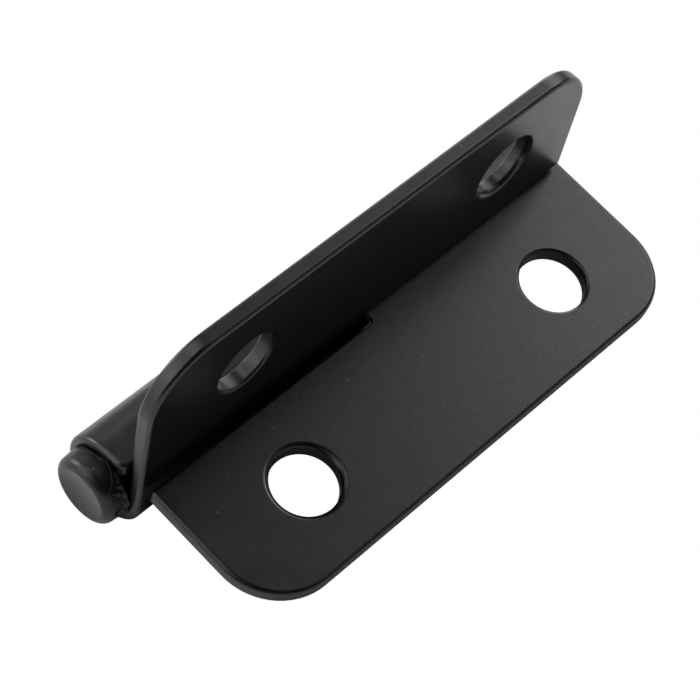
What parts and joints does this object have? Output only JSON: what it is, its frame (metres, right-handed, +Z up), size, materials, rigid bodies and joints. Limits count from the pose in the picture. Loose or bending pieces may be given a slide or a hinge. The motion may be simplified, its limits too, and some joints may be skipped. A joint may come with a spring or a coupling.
{
  "type": "door hinge",
  "caption": "Black coated steel butt hinge for a door: flat leaves with rounded outer corners, rolled knuckles and a headed pin.",
  "frame": {"origin": "middle of the hinge's footprint on the table it rests on", "axes": "+X along the pin, from its head to its plain end; +Y from the fixed leaf's free edge towards the barrel; +Z up"},
  "size_m": [0.072, 0.031, 0.0289],
  "materials": {
    "leaf_coat": "semi-gloss black coat",
    "pin_coat": "satin black coat"
  },
  "bodies": {
    "fixed": {"fixed_leaf": "leaf_coat", "hinge_pin": "pin_coat"},
    "moving": {"moving_leaf": "leaf_coat"}
  },
  "joints": [
    {"name": "leaf_swing", "type": "hinge", "parent": "fixed", "child": "moving", "pos_m": [0, 0.00999, 0.0055], "axis": [-1, 0, 0], "range_deg": [-5.5, 276]}
  ]
}
